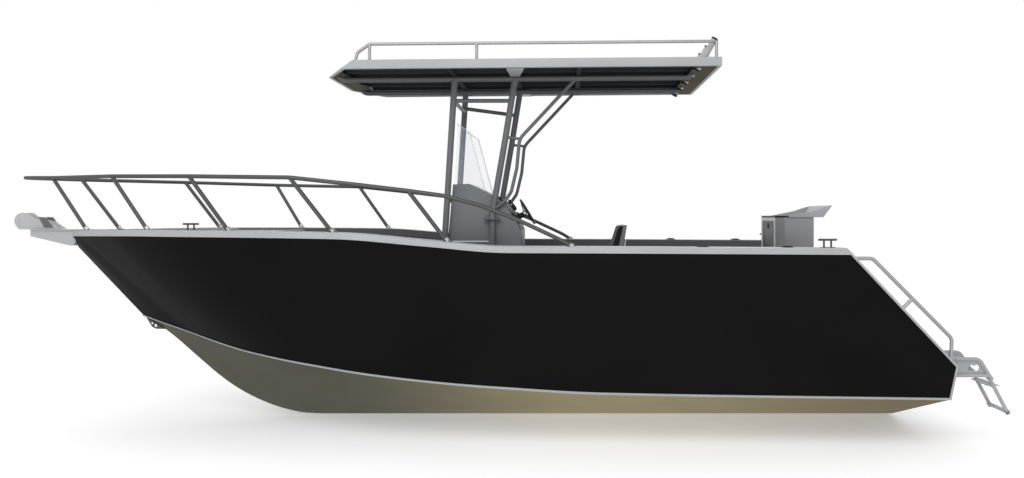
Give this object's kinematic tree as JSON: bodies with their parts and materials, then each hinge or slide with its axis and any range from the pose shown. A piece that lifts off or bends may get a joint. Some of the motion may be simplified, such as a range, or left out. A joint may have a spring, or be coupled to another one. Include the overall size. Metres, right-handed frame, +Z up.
{
  "type": "center console boat",
  "caption": "Welded alloy centre console fishing boat with a hard roof on legs, bow rails, transom gate and folding boarding ladder, without its engine.",
  "frame": {"origin": "on the centreline at the waterline, amidships", "axes": "+X aft, +Y to starboard, +Z up"},
  "size_m": [7.8158, 2.416, 2.9873],
  "materials": {
    "topside_paint": "gloss black paint",
    "bare_alloy": "unpainted plate",
    "deck_paint": "satin light grey paint",
    "console_paint": "satin mid grey paint",
    "frame_paint": "satin grey powder coat",
    "rail_alloy": "brushed tube",
    "dark_sheet": "dark ribbed underside",
    "steel": "polished fittings",
    "black_plastic": "moulded black",
    "white_board": "cutting board",
    "deck_lining": "non-slip deck lining",
    "upholstery": "marine vinyl",
    "seat_box": "satin grey paint",
    "clear_panel": "clear sheet",
    "roller_rubber": "black roller"
  },
  "bodies": {
    "hull": {"hull_bottom": "bare_alloy", "topsides": "topside_paint", "chine_strip": "deck_paint", "gunwales": "deck_paint", "coaming_liners": "deck_paint", "stern_edgings": "deck_paint", "foredeck": "deck_paint", "cockpit_sole": "deck_lining", "aft_bulkhead": "deck_paint", "transom_plate": "deck_paint", "swim_platform": "deck_lining", "engine_board": "deck_paint", "bowsprit": "console_paint", "roller_bracket": "steel", "bow_eye_plate": "bare_alloy", "mooring_cleats": "steel", "bow_rail": "rail_alloy", "stern_rails": "rail_alloy", "boarding_bracket": "deck_paint", "roof_fascia": "deck_paint", "roof_skin": "dark_sheet", "roof_ribs": "dark_sheet", "roof_rod_holders": "steel", "roof_rail": "rail_alloy", "roof_fore_legs": "frame_paint", "roof_aft_legs": "frame_paint", "roof_struts": "frame_paint", "console_shell": "console_paint", "windscreen": "clear_panel", "throttle_control": "black_plastic", "helm_seat_base": "seat_box", "helm_seat_cushion": "upholstery", "helm_seat_backrest": "upholstery", "helm_seat_brackets": "steel", "bait_cabinet": "console_paint", "bait_board": "white_board", "gunwale_rod_holders": "black_plastic"},
    "anchor_lid": {"anchor_locker_lid": "deck_paint"},
    "hatch_lid": {"sole_hatch_lid": "deck_lining"},
    "gate": {"transom_gate": "deck_paint"},
    "roller": {"bow_roller": "roller_rubber"},
    "ladder": {"boarding_ladder": "deck_paint"},
    "wheel": {"steering_wheel": "black_plastic"},
    "helm_door": {"console_door": "console_paint"},
    "tackle_door": {"bait_door": "black_plastic"}
  },
  "joints": [
    {"name": "anchor_lid_hinge", "type": "hinge", "parent": "hull", "child": "anchor_lid", "pos_m": [-1.93, 0, 1.185], "axis": [0, 1, 0], "range_deg": [0, 90]},
    {"name": "hatch_lid_hinge", "type": "hinge", "parent": "hull", "child": "hatch_lid", "pos_m": [1.4, 0, 0.35], "axis": [0, -1, 0], "range_deg": [0, 90]},
    {"name": "gate_hinge", "type": "hinge", "parent": "hull", "child": "gate", "pos_m": [2.64, -0.965, 0.72], "axis": [0, 0, -1], "range_deg": [0, 95]},
    {"name": "bow_roller_spin", "type": "hinge", "parent": "hull", "child": "roller", "pos_m": [-3.886, 0, 1.274], "axis": [0, 1, 0], "continuous": true},
    {"name": "ladder_fold", "type": "hinge", "parent": "hull", "child": "ladder", "pos_m": [3.737, -0.8, 0.124], "axis": [0, -1, 0], "range_deg": [0, 150]},
    {"name": "steering", "type": "hinge", "parent": "hull", "child": "wheel", "pos_m": [0.31272, 0, 1.34411], "axis": [0.8572, 0, 0.515], "range_deg": [-630, 630]},
    {"name": "helm_door_hinge", "type": "hinge", "parent": "hull", "child": "helm_door", "pos_m": [-0.262, -0.4, 0.73], "axis": [0, 0, -1], "range_deg": [0, 90]},
    {"name": "tackle_door_hinge", "type": "hinge", "parent": "hull", "child": "tackle_door", "pos_m": [2.31, 0, 0.82], "axis": [0, -1, 0], "range_deg": [0, 90]}
  ]
}
